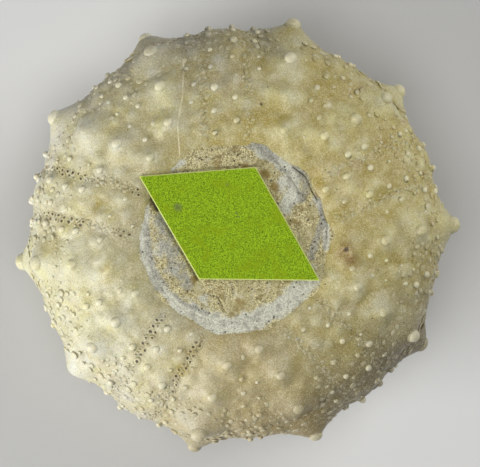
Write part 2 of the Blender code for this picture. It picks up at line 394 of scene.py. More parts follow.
# Soft patches of the sediment: x, y, radius, strength.
CHALK = (
    (-3.3, 0.6, 0.9, 0.6), (-3.1, -0.6, 0.9, 0.65), (-2.6, -1.8, 0.9, 0.6), (-1.6, -2.9, 0.7, 0.6),
    (2.2, 2.3, 0.6, 0.9), (3.3, -1.5, 0.4, 0.6),
)
SMUDGES = (
    (-2.57, 1.20, 0.28, 1.0), (-0.40, 2.19, 0.22, 0.7), (-0.02, 0.95, 0.07, 1.3),
    (0.07, 0.78, 0.07, 1.3),
)
BROWN = (
    (1.26, 2.64, 0.35, 1.0), (1.66, 2.1, 0.3, 1.0), (2.55, 0.55, 0.25, 0.9),
    (-0.86, 2.99, 0.4, 0.7), (0.38, 2.99, 0.4, 0.7), (-1.84, -1.95, 0.25, 0.9),
    (-0.73, -2.55, 0.4, 0.5), (0.16, -2.99, 0.45, 0.6), (0.6, -2.3, 0.3, 0.5),
    (3.3, 2.4, 0.2, 0.9), (3.65, 1.75, 0.25, 1.0), (3.9, 1.1, 0.2, 0.8),
)

# ---------------- camera and light

PHOTO_WIDTH = 480
PHOTO_HEIGHT = 467
PIXELS_PER_MM = 22.56
AXIS_PIXEL = (236.5, 234.5)
CAMERA_LENS = 800
CAMERA_SENSOR = 36
CAMERA_CLIP = (0.01, 5)
FLOOR_HALF = 0.6
WORLD_STRENGTH = 0.22
LIGHT_DISTANCE = 0.2
# Soft round lights: name, azimuth and elevation in degrees, width in metres, power in watts.
LIGHTS = (
    ("key", 212, 23, 0.14, 0.44),
    ("fill", 36, 34, 0.14, 0.26),
    ("top", 250, 80, 0.12, 0.135),
)


# ---------------- the form of the test

def gaussian(value, width):
    return np.exp(-((value / width) ** 2))


def smooth(value, low, high):
    t = np.clip((value - low) / (high - low), 0, 1)
    return t * t * (3 - 2 * t)


def angle_between(a, b):
    """Degrees from b to a, the short way round."""
    return (a - b + 180) % 360 - 180


def off_lines(points, lines):
    """Degrees from each point to the nearest of these lines, which are angles round the axis."""
    angle = angle_of(points)
    return np.min([np.abs(angle_between(angle, line)) for line in lines], axis=0)


def ambulacra():
    after = INTERAMBULACRA[1:] + (INTERAMBULACRA[0] + 360,)
    return [(a + b) / 2 for a, b in zip(INTERAMBULACRA, after)]


def superellipse_quarter(rise, fullness):
    turn = np.linspace(0, math.pi / 2, MERIDIAN_SAMPLES)
    radius = AMBITUS_RADIUS * np.cos(turn) ** (2 / fullness)
    height = rise * np.sin(turn) ** (2 / fullness)
    return radius, height


def meridian():
    """Arc, radius and height along the outside, from the mouth's edge to the flat apex."""
    radius, height = superellipse_quarter(ORAL_RISE, ORAL_FULLNESS)
    oral = radius > MOUTH_RADIUS
    oral_radius = np.append(radius[oral], MOUTH_RADIUS)[::-1]
    oral_height = np.interp(-oral_radius, -radius, height) + AMBITUS_HEIGHT
    oral_height -= LIP_DIP * np.exp(-(oral_radius - MOUTH_RADIUS) / LIP_WIDTH)
    radius, height = superellipse_quarter(APICAL_DROP, APICAL_FULLNESS)
    apex_radius = np.interp(AMBITUS_HEIGHT, height, radius)
    apical = height < AMBITUS_HEIGHT
    apical_radius = np.append(radius[apical], apex_radius)[1:]
    apical_height = np.append(AMBITUS_HEIGHT - height[apical], 0.0)[1:]
    radius = np.concatenate([oral_radius, apical_radius])
    height = np.concatenate([oral_height, apical_height])
    arc = np.append(0, np.cumsum(np.hypot(np.diff(radius), np.diff(height))))
    return arc, radius, height


ARC, RADIUS, HEIGHT = meridian()
APEX_RADIUS = RADIUS[-1]
AMBITUS_ARC = ARC[np.argmax(RADIUS)]


def angle_of(points):
    return np.degrees(np.arctan2(points[:, 1], points[:, 0]))


def bulged(points):
    """The five ambulacra stand a little proud of the turned form."""
    middle = np.array([0, 0, AMBITUS_HEIGHT])
    spoke = points - middle
    share = (np.hypot(points[:, 0], points[:, 1]) / AMBITUS_RADIUS) ** 4
    bulge = AMBULACRUM_BULGE * share * gaussian(off_lines(points, ambulacra()), AMBULACRUM_WIDTH)
    return middle + spoke * (1 + bulge / np.linalg.norm(spoke, axis=1))[:, None]


def mouth_shaped(points):
    """Gives the rings round the opening its notched outline, slightly off the axis."""
    radius = np.hypot(points[:, 0], points[:, 1])
    angle = angle_of(points)
    notch = sum(
        gaussian(angle_between(angle, middle + side * NOTCH_ANGLE), NOTCH_WIDTH)
        for middle in INTERAMBULACRA
        for side in (-1, 1)
    )
    hold = np.clip(1 - (radius - MOUTH_RADIUS) / MOUTH_REACH, 0, 1)
    grown = 1 + hold * notch * NOTCH_DEPTH / MOUTH_RADIUS
    shaped = points * np.stack([grown, grown, np.ones_like(grown)], axis=1)
    shaped[:, 0] += hold * MOUTH_OFFSET[0]
    shaped[:, 1] += hold * MOUTH_OFFSET[1]
    return shaped


def base_surface(arc, angle):
    """Points and outward normals of the smooth test at these arcs and angles in degrees."""
    radius = np.interp(arc, ARC, RADIUS)
    height = np.interp(arc, ARC, HEIGHT)
    ahead, behind = arc + TANGENT_STEP, arc - TANGENT_STEP
    along_radius = np.interp(ahead, ARC, RADIUS) - np.interp(behind, ARC, RADIUS)
    along_height = np.interp(ahead, ARC, HEIGHT) - np.interp(behind, ARC, HEIGHT)
    length = np.hypot(along_radius, along_height)
    turn = np.radians(angle)
    out, up = -along_height / length, along_radius / length
    points = np.stack([radius * np.cos(turn), radius * np.sin(turn), height], axis=1)
    normals = np.stack([out * np.cos(turn), out * np.sin(turn), up], axis=1)
    return mouth_shaped(bulged(points)), normals


def on_test(places):
    """Points and outward normals of the smooth test at these places."""
    return base_surface(places[:, 0], places[:, 1])


def on_mouth_side(points):
    return points[:, 2] > AMBITUS_HEIGHT


# ---------------- where the tubercles are

def primary_places():
    """Arc, angle and scale of each primary tubercle, its columns staggered by one plate."""
    dice = random.Random(SEED)
    places = []
    arc = FIRST_PLATE
    side = 1
    while arc < LAST_PLATE:
        growth = gaussian(arc - WIDEST_PLATE, TUBERCLE_REACH)
        scale = SMALLEST_TUBERCLE + (1 - SMALLEST_TUBERCLE) * growth
        spread = COLUMN_ANGLE * (1 - math.exp(-arc / COLUMN_REACH))
        for middle in INTERAMBULACRA:
            own_arc = arc + WANDER_ARC * dice.uniform(-1, 1)
            own_angle = middle + side * spread + WANDER_ANGLE * dice.uniform(-1, 1)
            own_scale = scale * (1 + WANDER_SCALE * dice.uniform(-1, 1))
            places.append((own_arc, own_angle, own_scale))
        arc += PLATE_STEP + PLATE_STEP_GAIN * gaussian(arc - WIDEST_PLATE, PLATE_STEP_REACH)
        side = -side
    return np.array(places)


def ambulacral_places():
    """Arc, angle and scale of each ambulacral tubercle, in two staggered rows."""
    dice = random.Random(SEED + 1)
    places = []
    arc = SMALL_STEP / 2
    side = 1
    while arc < SMALL_LAST:
        spread = SMALL_ROW / np.interp(arc, ARC, RADIUS)
        for middle in ambulacra():
            own_arc = arc + SMALL_WANDER * dice.uniform(-1, 1)
            own_angle = middle + side * math.degrees(spread * dice.uniform(*SMALL_SPREADS))
            places.append((own_arc, own_angle, dice.choice(SMALL_SIZES)))
        arc += SMALL_STEP / 2
        side = -side
    return np.array(places)


def secondary_places():
    """Arc, angle and scale of secondary tubercles, along each middle and beside the pores."""
    dice = random.Random(SEED + 2)
    wander_arc, wander_width = SECONDARY_WANDER
    places = []
    arc = SECONDARY_STEP
    side = 1
    while arc < SMALL_LAST:
        radius = np.interp(arc, ARC, RADIUS)
        beside_pores = math.radians(SECTOR_HALF) * radius - PORE_ZONE - SECONDARY_FROM_PORES
        for middle in INTERAMBULACRA:
            for width in (SECONDARY_MIDDLE, beside_pores):
                if width < SECONDARY_ROOM < beside_pores or radius > SECONDARY_WIDE:
                    own_arc = arc + wander_arc * dice.uniform(-1, 1)
                    own_width = width + wander_width * dice.uniform(-1, 1)
                    own_angle = middle + side * math.degrees(own_width / radius)
                    places.append((own_arc, own_angle, dice.uniform(*SECONDARY_SIZES)))
        arc += SECONDARY_STEP / 2
        side = -side
    return np.array(places)


def away_from(places, others, share):
    """The places that stay clear of the others' bosses."""
    reach = share * others[:, 2]
    gaps = np.linalg.norm(on_test(places)[0][:, None] - on_test(others)[0][None], axis=2)
    return places[(gaps > reach[None]).all(axis=1)]


def spaced(points, gap):
    """Which points to keep so that none is nearer than this to one kept before it."""
    kept = {}
    chosen = []
    for index, point in enumerate(points):
        cell = tuple(np.floor(point / gap).astype(int))
        near = (
            other
            for dx in (-1, 0, 1)
            for dy in (-1, 0, 1)
            for dz in (-1, 0, 1)
            for other in kept.get((cell[0] + dx, cell[1] + dy, cell[2] + dz), ())
        )
        if all(np.sum((point - other) ** 2) >= gap * gap for other in near):
            kept.setdefault(cell, []).append(point)
            chosen.append(index)
    return np.array(chosen)


def inside_paper(points):
    """How far inside the paper's outline, seen from above; negative outside it."""
    sides = []
    for (ax, ay), (bx, by) in zip(PAPER_CORNERS, PAPER_CORNERS[1:] + PAPER_CORNERS[:1]):
        length = math.hypot(bx - ax, by - ay)
        across = (bx - ax) * (points[:, 1] - ay) - (by - ay) * (points[:, 0] - ax)
        sides.append(across / length)
    return np.min(sides, axis=0)


def clear_of_paper(places, gap):
    """True for the places that are this far from the paper's outline, or below it."""
    points = on_test(places)[0]
    return (inside_paper(points) < -gap) | ~on_mouth_side(points)


def scarred(places):
    """True for the tubercles that have broken away."""
    points = on_test(places)[0]
    lost = np.zeros(len(places), bool)
    for x, y, *_ in SCARS:
        gap = np.hypot(points[:, 0] - x * MM, points[:, 1] - y * MM)
        lost |= (gap < SCAR_REACH) & on_mouth_side(points)
    return lost


PRIMARY = primary_places()
SECONDARY = away_from(secondary_places(), PRIMARY, SECONDARY_CLEAR)
SMALL = np.concatenate([ambulacral_places(), SECONDARY])
SMALL = SMALL[~scarred(SMALL) & clear_of_paper(SMALL, PAPER_CLEAR)]


def swelling_places():
    """Arc, angle and scale of worn swellings, spread evenly over the mouth side."""
    dice = np.random.default_rng(SEED + 7)
    radius = AMBITUS_RADIUS * np.sqrt(dice.uniform(SWELLING_INNER, 1, SWELLING_TRIES))
    oral = ARC <= AMBITUS_ARC
    arc = np.interp(radius, RADIUS[oral], ARC[oral])
    angle = dice.uniform(0, 360, SWELLING_TRIES)
    places = np.stack([arc, angle, dice.uniform(*SWELLING_SIZES, SWELLING_TRIES)], axis=1)
    places = away_from(places, PRIMARY, SWELLING_CLEAR)
    return places[spaced(on_test(places)[0], SWELLING_SPACING)]


SWELLINGS = swelling_places()


# ---------------- relief

def mound(points, places, reach, height, bend):
    """Height of round mounds at these places, the highest one winning."""
    total = np.zeros(len(points))
    for centre, scale in zip(on_test(places)[0], places[:, 2]):
        away = np.linalg.norm(points - centre, axis=1) / (reach * scale)
        near = away < 1
        shape = 0.5 + 0.5 * np.cos(math.pi * away[near] ** bend)
        total[near] = np.maximum(total[near], height * scale * shape)
    return total


def scars(points):
    """Depth of the ragged pits where tubercles have broken away."""
    depth = np.zeros(len(points))
    for x, y, radius, deep in SCARS:
        away = np.hypot(points[:, 0] / MM - x, points[:, 1] / MM - y) / radius
        near = on_mouth_side(points) & (away < SCAR_FADE)
        away = away[near] * (1 + SCAR_RAGGED * cloud(points[near], SCAR_LUMPS))
        depth[near] += deep * MM * np.exp(-(away ** 4))
    return depth


def pore_row(arc):
    """Distance of a pore row from its ambulacrum's middle, which narrows towards the apex."""
    return np.minimum(PORE_ZONE, PORE_ZONE_TAPER * np.interp(arc, ARC, RADIUS))


def from_pore_row(arc, points):
    """Distance from the nearest pore row's middle line."""
    radius = np.hypot(points[:, 0], points[:, 1])
    return np.abs(radius * np.radians(off_lines(points, ambulacra())) - pore_row(arc))


def cloud(points, size, octaves=3, shift=0.0):
    """Soft noise with lumps of about this size, from -1 to 1; another shift gives other lumps."""
    scaled = points / size + shift
    return np.array([noise.fractal(Vector(p), 1.0, 2.0, octaves) for p in scaled])


def whitened(points, height):
    """How high and worn the surface is, which is where the calcite is whitest."""
    swellings = mound(points, SWELLINGS, SWELLING_REACH, SWELLING_HEIGHT, MOUND_BEND)
    return height / BOSS_HEIGHT + SWELLING_WHITE * swellings / SWELLING_HEIGHT


def relief(arc, points):
    """How far the real surface stands over the smooth one, pore pits apart."""
    bosses = mound(points, PRIMARY, BOSS_REACH, BOSS_HEIGHT, BOSS_BEND)
    mounds = mound(points, SMALL, MOUND_REACH, MOUND_HEIGHT, MOUND_BEND)
    swellings = mound(points, SWELLINGS, SWELLING_REACH, SWELLING_HEIGHT, MOUND_BEND)
    mounds = np.maximum(mounds, swellings * (1 - bosses / BOSS_HEIGHT) ** 2)
    sink = PORE_ZONE_SINK * gaussian(from_pore_row(arc, points), PORE_ZONE_WIDTH)
    rough = ROUGHNESS * (cloud(points, COARSE_LUMPS) + cloud(points, FINE_LUMPS, 2, 7.0))
    cones = mound(points, PRIMARY, CONE_REACH, CONE_HEIGHT, CONE_BEND)
    return bosses + cones + mounds - sink + rough - scars(points)


# ---------------- mesh makers

def linked(name, data):
    """A new object of the scene with this data."""
    obj = bpy.data.objects.new(name, data)
    bpy.context.scene.collection.objects.link(obj)
    return obj


def mesh_object(name, points, faces):
    """One object from points and arrays of faces, which run counter-clockwise from outside."""
    data = bpy.data.meshes.new(name)
    data.from_pydata(points.tolist(), [], [face for group in faces for face in group.tolist()])
    data.shade_smooth()
    return linked(name, data)


def add_masks(obj, **masks):
    """Stores each mask's number for every point of the object, or one for all of them."""
    for name, values in masks.items():
        made = obj.data.attributes.new(name, "FLOAT", "POINT")
        made.data.foreach_set("value", np.full(len(made.data), values, np.float32))


def tube_faces(rows, sides):
    """Faces of rings of points, closed by a fan round the first point and one round the last."""
    row, col = np.meshgrid(np.arange(rows - 1), np.arange(sides), indexing="ij")
    here = 1 + row * sides + col
    beside = 1 + row * sides + (col + 1) % sides
    quads = np.stack([here, here + sides, beside + sides, beside], axis=-1).reshape(-1, 4)
    col = np.arange(sides)
    first = np.stack([np.zeros(sides, int), 1 + col, 1 + (col + 1) % sides], axis=1)
    end = 1 + (rows - 1) * sides
    last = np.stack([np.full(sides, end + sides), end + (col + 1) % sides, end + col], axis=1)
    return [quads, first, last]


def unit_circle(sides):
    turn = np.arange(sides) * 2 * math.pi / sides
    return np.stack([np.cos(turn), np.sin(turn)], axis=1)


def ring(circle, radius, height=0.0):
    return np.column_stack([circle * radius, np.full(len(circle), height)])


def turned(rings, sides):
    """Points and faces of a closed turned form from (radius, height) rings, top to bottom."""
    circle = unit_circle(sides)
    middle = [ring(circle, radius, height) for radius, height in rings[1:-1]]
    top, bottom = [[0, 0, rings[0][1]]], [[0, 0, rings[-1][1]]]
    return np.concatenate([top, *middle, bottom]), tube_faces(len(middle), sides)


def stamp(name, shape, faces, points, normals, sizes, dice):
    """One mesh with the shape copied to each point, upright on its normal, turned at random."""
    helper = np.where(np.abs(normals[:, 2:3]) < 0.9, [[0.0, 0.0, 1.0]], [[1.0, 0.0, 0.0]])
    first = np.cross(helper, normals)
    first /= np.linalg.norm(first, axis=1)[:, None]
    second = np.cross(normals, first)
    spin = dice.uniform(0, 2 * math.pi, len(points))[:, None]
    across = first * np.cos(spin) + second * np.sin(spin)
    along = np.cross(normals, across)
    axes = np.stack([across, along, normals], axis=1)
    placed = points[:, None] + np.einsum("pk,nk,nkc->npc", shape, sizes, axes)
    steps = np.arange(len(points))[:, None, None] * len(shape)
    groups = [(group[None] + steps).reshape(-1, group.shape[1]) for group in faces]
    return mesh_object(name, placed.reshape(-1, 3), groups)


# ---------------- where the colours are

def spots(points, places):
    """Soft round patches on the mouth side, each (x, y, radius, strength) in millimetres."""
    total = np.zeros(len(points))
    for x, y, radius, strength in places:
        away = np.hypot(points[:, 0] / MM - x, points[:, 1] / MM - y)
        total = np.maximum(total, strength * gaussian(away, radius))
    return total * smooth(points[:, 2], *SPOT_FADE)


def bands(points, lines):
    """Soft bands along lines of points, each (half width, strength, points) in millimetres."""
    flat = points[:, :2] / MM
    total = np.zeros(len(points))
    for width, strength, line in lines:
        for start, end in zip(line, line[1:]):
            start, way = np.array(start), np.subtract(end, start)
            along = np.clip((flat - start) @ way / (way @ way), 0, 1)
            away = np.linalg.norm(flat - start - along[:, None] * way, axis=1)
            total = np.maximum(total, strength * gaussian(away, width))
    return total * smooth(points[:, 2], *BAND_FADE)


def facing(angle, middle, sharpness):
    """1 at this angle in degrees, falling to 0 on the opposite side."""
    return (0.5 + 0.5 * np.cos(angle - math.radians(middle))) ** sharpness


def facing_either(angle, sides):
    return np.maximum(*(facing(angle, *side) for side in sides))


def hairline_distance(points):
    """Signed distance in millimetres across the hairline, so that it stays thin between points."""
    line = np.array(HAIRLINE)[::-1]
    height = points[:, 1] / MM
    away = points[:, 0] / MM - np.interp(height, line[:, 1], line[:, 0])
    beyond = np.maximum(height - line[-1, 1], 0) + np.maximum(line[0, 1] - height, 0)
    far = np.where(on_mouth_side(points), 0, OUT_OF_REACH)
    return away + np.sign(away) * HAIRLINE_END * beyond + far


def paint(obj, points, high, repeat=1, **more):
    """Gives the object's points the masks that the calcite's colours are mixed by."""
    angle = np.radians(angle_of(points))
    radius = np.hypot(points[:, 0], points[:, 1]) / AMBITUS_RADIUS
    zone = np.minimum(PORE_ZONE, PORE_ZONE_TAPER * radius * AMBITUS_RADIUS)
    across = radius * AMBITUS_RADIUS * np.radians(off_lines(points, OPEN_AMBULACRA))
    # Painted shade: on the rim of the dark and dim sides, and over the middle of the inner side.
    dark = np.maximum(facing(angle, *DARK_SIDE), DIM_SHARE * facing(angle, *DIM_SIDE))
    khaki = 0.5 + 0.5 * radius * np.cos(angle - math.radians(KHAKI_ANGLE))
    masks = {
        "high": high,
        "zone": gaussian(np.abs(across - zone), PORE_ZONE_WIDTH),
        "ochre": spots(points, OCHRE),
        "rust": spots(points, RUST),
        "veil": spots(points, VEILS),
        "sugary": spots(points, SUGARY_AND_SHADE),
        "khaki": khaki + KHAKI_INNER * (1 - radius),
        "painted_shade_rim": radius ** RIM_POWER * dark,
        "inner": facing(angle, *INNER_SIDE) * smooth(radius, *INNER_FADE),
        "warm": facing(angle, *WARM_SIDE),
        "chalky": radius ** RIM_POWER * facing_either(angle, CHALKY_SIDES),
        "cool": facing(angle, *COOL_SIDE) * smooth(radius, *COOL_FADE),
        "hairline": hairline_distance(points),
    }
    repeated = {name: np.repeat(values, repeat) for name, values in masks.items()}
    add_masks(obj, **repeated, **more)


# ---------------- the pieces of the test

def make_shell():
    """The whole test, with its pocket, lip, outside and flat apex, in one closed surface."""
    oral = np.linspace(0, AMBITUS_ARC, ORAL_ROWS)
    apical = np.linspace(AMBITUS_ARC, ARC[-1], APICAL_ROWS)[1:]
    angles = np.arange(SHELL_SIDES) * 360 / SHELL_SIDES
    grid = np.meshgrid(np.concatenate([oral, apical]), angles, indexing="ij")
    arc, angle = (values.reshape(-1) for values in grid)
    points, normals = base_surface(arc, angle)
    height = relief(arc, points)
    fade = smooth(arc, 0, LIP_FADE) * smooth(ARC[-1] - arc, 0, APEX_FADE)
    outside = points + normals * (height * fade)[:, None]

    circle = unit_circle(SHELL_SIDES)
    inner = [(POCKET_CENTRE, POCKET_FLOOR), (MOUTH_RADIUS - LIP_ROUNDING[0][0], POCKET_FLOOR)]
    inner += [(MOUTH_RADIUS - inset, HEIGHT[0] - drop) for inset, drop in LIP_ROUNDING]
    pocket = [mouth_shaped(ring(circle, *place)) for place in inner]
    flat_radii = np.linspace(APEX_RADIUS, APEX_CENTRE, APEX_ROWS + 1)[1:]
    flat = [ring(circle, radius) for radius in flat_radii]
    everything = np.concatenate([[[0, 0, POCKET_FLOOR]], *pocket, outside, *flat, [[0, 0, 0]]])
    rows = (len(everything) - 2) // SHELL_SIDES
    shell = mesh_object("test_surface", everything, tube_faces(rows, SHELL_SIDES))
    high = np.zeros(len(everything))
    start = 1 + len(inner) * SHELL_SIDES
    high[start : start + len(outside)] = whitened(points, height)
    paint(shell, everything, high, bead=spots(everything, CHIPS), pit=spots(everything, DOTS))
    return shell


def pore_places():
    """Arc, angle and scale of every pore, in pairs, and how open each is from 0 to 1."""
    dice = np.random.default_rng(SEED + 3)
    wander_arc, wander_width = PORE_WANDER
    split = PORE_SPLIT / 2
    places, opened = [], []
    for middle, openness in zip(ambulacra(), PORE_OPENNESS):
        for side in (-1, 1):
            phase = dice.uniform(0, 2 * math.pi)
            for pair in np.arange(PORE_FIRST, PORE_LAST, PORE_PITCH):
                stretch = 1 - PORE_PATCHY + PORE_PATCHY * math.sin(pair / PORE_STRETCH + phase)
                stretch *= 1 - gaussian(pair - AMBITUS_ARC, PORE_CLOSED)
                for end in (-1, 1):
                    arc = pair + end * PORE_SLANT + wander_arc * dice.uniform(-1, 1)
                    across = pore_row(arc) + end * split + wander_width * dice.uniform(-1, 1)
                    angle = middle + side * math.degrees(across / np.interp(arc, ARC, RADIUS))
                    places.append((arc, angle, dice.uniform(*PORE_SIZES)))
                    opened.append(openness * stretch * dice.uniform(*PORE_OPENINGS))
    places, opened = np.array(places), np.array(opened)
    keep = clear_of_paper(places, PORE_PAPER_CLEAR)
    return places[keep], opened[keep]


def stamped(name, rings, sides, places, sizes, dice, whitest=0, pit=0):
    """Turned shapes on the relief at these places, each white up to this much, with dark dots and
    painted shade where given.
    """
    points, normals = on_test(places)
    high = relief(places[:, 0], points)
    shape, faces = turned(rings, sides)
    obj = stamp(name, shape, faces, points + normals * high[:, None], normals, sizes, dice)
    bead = np.repeat(dice.uniform(0, whitest, len(places)), len(shape)) if whitest else 0
    paint(obj, points, high / BOSS_HEIGHT, len(shape), bead=bead, pit=pit)
    return obj


def make_pores():
    """The open pores, in pairs along both sides of every ambulacrum."""
    dice = np.random.default_rng(SEED + 5)
    places, opened = pore_places()
    places, opened = places[opened > PORE_OPEN], opened[opened > PORE_OPEN]
    shape, _ = turned(PORE_RINGS, PORE_SIDES)
    # The open pores' floors get painted shade, darker the more open they are.
    floor = (np.hypot(shape[:, 0], shape[:, 1]) < PORE_FLOOR) & (shape[:, 2] > 0)
    pit = np.outer(np.minimum(opened, 1), floor).reshape(-1)
    sizes = places[:, 2:3] * dice.uniform(*UNEVEN, (len(places), 3))
    return stamped("pores", PORE_RINGS, PORE_SIDES, places, sizes, dice, pit=pit)


def make_plugs():
    """Grains of calcite that fill the pores elsewhere, which gives those zones a sugary look."""
    dice = np.random.default_rng(SEED + 6)
    places, opened = pore_places()
    places = np.repeat(places[opened <= PORE_OPEN], PLUG_GRAINS, axis=0)
    places[:, 0] += PLUG_SPREAD * dice.uniform(-1, 1, len(places))
    places[:, 1] += dice.uniform(-PLUG_TURN, PLUG_TURN, len(places))
    radius = PLUG_RADIUS * dice.uniform(*PLUG_SIZES, (len(places), 1))
    sizes = radius * dice.uniform(*UNEVEN, (len(places), 3))
    return stamped("filled_pores", GRANULE_RINGS, GRANULE_SIDES, places, sizes, dice, PLUG_WHITE)


def make_tubercles(name, places, seed, rings, sides, neck, whiteness, lift):
    """A bead on each of these places, whiter above its neck and worn lower on the mouth side."""
    dice = np.random.default_rng(seed)
    shape, faces = turned(rings, sides)
    points, normals = on_test(places)
    sizes = places[:, 2:3] * dice.uniform(*TUBERCLE_UNEVEN, (len(places), 3))
    sizes[:, 2] *= np.where(on_mouth_side(points), lift, 1.0)
    obj = stamp(name, shape, faces, points, normals, sizes, dice)
    white = dice.uniform(*whiteness, len(places))
    bead = np.outer(white, smooth(shape[:, 2], neck - NECK_BELOW, neck + NECK_ABOVE)).reshape(-1)
    # Painted shade darkens each tubercle's foot, where a groove lies in shade.
    foot = np.tile(FOOT_SHADE * smooth(shape[:, 2], neck, neck - FOOT_FADE), len(points))
    paint(obj, points, np.full(len(points), TUBERCLE_HIGH), len(shape), bead=bead, pit=foot)
    return obj


def make_knobs():
    places = PRIMARY[~scarred(PRIMARY)]
    form = KNOB_RINGS, KNOB_SIDES, KNOB_NECK
    return make_tubercles("primary_knobs", places, SEED, *form, KNOB_WHITE, KNOB_LIFT)


def make_beads():
    form = BEAD_RINGS, BEAD_SIDES, BEAD_NECK
    return make_tubercles("small_tubercles", SMALL, SEED + 1, *form, BEAD_WHITE, BEAD_LIFT)


def make_granules(name, first, last, seed):
    """Low round granules, close together, on the part of the test between two arcs."""
    dice = np.random.default_rng(seed)
    arcs = np.linspace(first, last, GRANULE_STOPS)
    share = np.interp(arcs, ARC, RADIUS)
    arc = dice.choice(arcs, GRANULE_TRIES, p=share / share.sum())
    arc += GRANULE_WANDER * dice.uniform(-1, 1, GRANULE_TRIES)
    angle = dice.uniform(0, 360, GRANULE_TRIES)
    places = np.stack([arc, angle, np.ones(GRANULE_TRIES)], axis=1)
    places = away_from(places, PRIMARY, GRANULE_CLEAR)
    places = away_from(places, SMALL, GRANULE_BEAD_CLEAR)
    places = places[clear_of_paper(places, PAPER_CLEAR)]
    points = on_test(places)[0]
    # The test is worn round the mouth: fewer granules are left there, and they are smaller.
    spread = np.hypot(points[:, 0], points[:, 1])
    sharp = np.where(on_mouth_side(points), smooth(spread, WORN_FROM, WORN_TO), 1.0)
    angle = np.radians(angle_of(points))
    dense = facing_either(angle, DENSE_SIDES)
    even = np.where(on_mouth_side(points), GRANULE_LEAST + (1 - GRANULE_LEAST) * dense, 1.0)
    left = dice.uniform(0, 1, len(places)) < even * (WORN_SHARE + (1 - WORN_SHARE) * sharp)
    keep = np.flatnonzero(left & (from_pore_row(places[:, 0], points) > PORE_ZONE_WIDTH))
    keep = keep[spaced(points[keep], GRANULE_SPACING)]
    places, points, sharp = places[keep], points[keep], sharp[keep]
    small, large = GRANULE_RADII
    radius = small + (large - small) * dice.uniform(0, 1, len(places)) ** GRANULE_SKEW
    sizes = radius[:, None] * dice.uniform(*UNEVEN, (len(places), 3))
    sizes *= (WORN_SIZE + (1 - WORN_SIZE) * sharp)[:, None]
    sizes[:, 2] *= np.where(on_mouth_side(points), WORN_LIFT, 1.0)
    return stamped(name, GRANULE_RINGS, GRANULE_SIDES, places, sizes, dice, GRANULE_WHITE)


# ---------------- sediment and paper

def make_sediment():
    """The plug in the mouth opening, whose thin edge laps over the lip here and there."""
    outer = MOUTH_RADIUS + LAP
    circle = unit_circle(SEDIMENT_SIDES)
    radii = outer * np.linspace(SEDIMENT_CENTRE, 1, SEDIMENT_ROWS)
    points = mouth_shaped(np.concatenate([ring(circle, r) for r in radii]))
    radius = np.repeat(radii, SEDIMENT_SIDES)
    slope = smooth(radius, FILL_SHOULDER, outer)
    top = FILL_TOP + (HEIGHT[0] - SEDIMENT_GAP - FILL_TOP) * slope
    lump_height, lump_size = SEDIMENT_LUMPS
    grain_height, grain_size = SEDIMENT_GRAINS
    lumps = lump_height * cloud(points, lump_size, 3, 3.0)
    lumps = lumps + grain_height * cloud(points, grain_size, 4, 5.0)
    edge = smooth(radius, MOUTH_RADIUS - EDGE_WIDTH, outer)
    lap = LAP_HEIGHT * (1 + LAP_PATCHY * cloud(points, LAP_PATCHES, 3, 9.0)) * edge
    surface = top + lumps + lap - EDGE_DROP * edge ** 4
    points[:, 2] = np.minimum(surface, PAPER_BOTTOM - SEDIMENT_GAP)
    points[:, 2] -= CRACK_DEPTH * np.minimum(bands(points, CRACKS_AND_PAPER_SHADOW), 1)
    bottom = POCKET_FLOOR + FILL_GAP
    last = mouth_shaped(ring(circle, MOUTH_RADIUS - EDGE_WIDTH, bottom))
    centre, below = [[*MOUTH_OFFSET, FILL_TOP]], [[*MOUTH_OFFSET, bottom]]
    everything = np.concatenate([centre, points, last, below])
    obj = mesh_object("sediment", everything, tube_faces(SEDIMENT_ROWS + 1, SEDIMENT_SIDES))
    chalk = np.maximum(spots(everything, CHALK), bands(everything, CHALK_BANDS))
    grey, crack = bands(everything, GREY_BANDS), bands(everything, CRACKS_AND_PAPER_SHADOW)
    add_masks(obj, chalk=chalk, grey=grey, brown=spots(everything, BROWN), crack=crack)
    return obj


def make_paper():
    """A cut slip of coloured paper, very slightly wavy."""
    steps = PAPER_STEPS
    wave_height, wave_size = PAPER_WAVES
    a, b, c, d = (np.array(corner) for corner in PAPER_CORNERS)
    u, v = np.meshgrid(np.linspace(0, 1, steps), np.linspace(0, 1, steps), indexing="ij")
    u, v = u.reshape(-1, 1), v.reshape(-1, 1)
    flat = (a * (1 - u) + b * u) * (1 - v) + (d * (1 - u) + c * u) * v
    top = np.column_stack([flat, np.full(len(flat), PAPER_BOTTOM + PAPER_THICKNESS)])
    top[:, 2] -= wave_height * (1 + cloud(top, wave_size))
    low = np.column_stack([flat, np.full(len(flat), PAPER_BOTTOM)])
    row, col = np.meshgrid(np.arange(steps - 1), np.arange(steps - 1), indexing="ij")
    here = (row * steps + col).reshape(-1)
    upper = np.stack([here, here + steps, here + steps + 1, here + 1], axis=1)
    lower = upper[:, ::-1] + len(top)
    side = np.arange(steps - 1)
    end = steps - 1
    border = np.concatenate([
        np.stack([side, side + 1], axis=1),
        np.stack([side * steps + end, (side + 1) * steps + end], axis=1),
        np.stack([steps * end + end - side, steps * end + end - side - 1], axis=1),
        np.stack([(end - side) * steps, (end - side - 1) * steps], axis=1),
    ])
    walls = np.column_stack([border, border[:, ::-1] + len(top)])
    points = np.concatenate([top, low])
    obj = mesh_object("paper", points, [upper, lower, walls])
    add_masks(obj, smudge=spots(points, SMUDGES), edge=inside_paper(points) / MM)
    return obj


# ---------------- materials

def srgb(red, green, blue):
    """A displayed colour of 0 to 255 as the shader's linear numbers."""
    def linear(value):
        value /= 255
        return value / 12.92 if value <= 0.04045 else ((value + 0.055) / 1.055) ** 2.4
    return linear(red), linear(green), linear(blue), 1.0


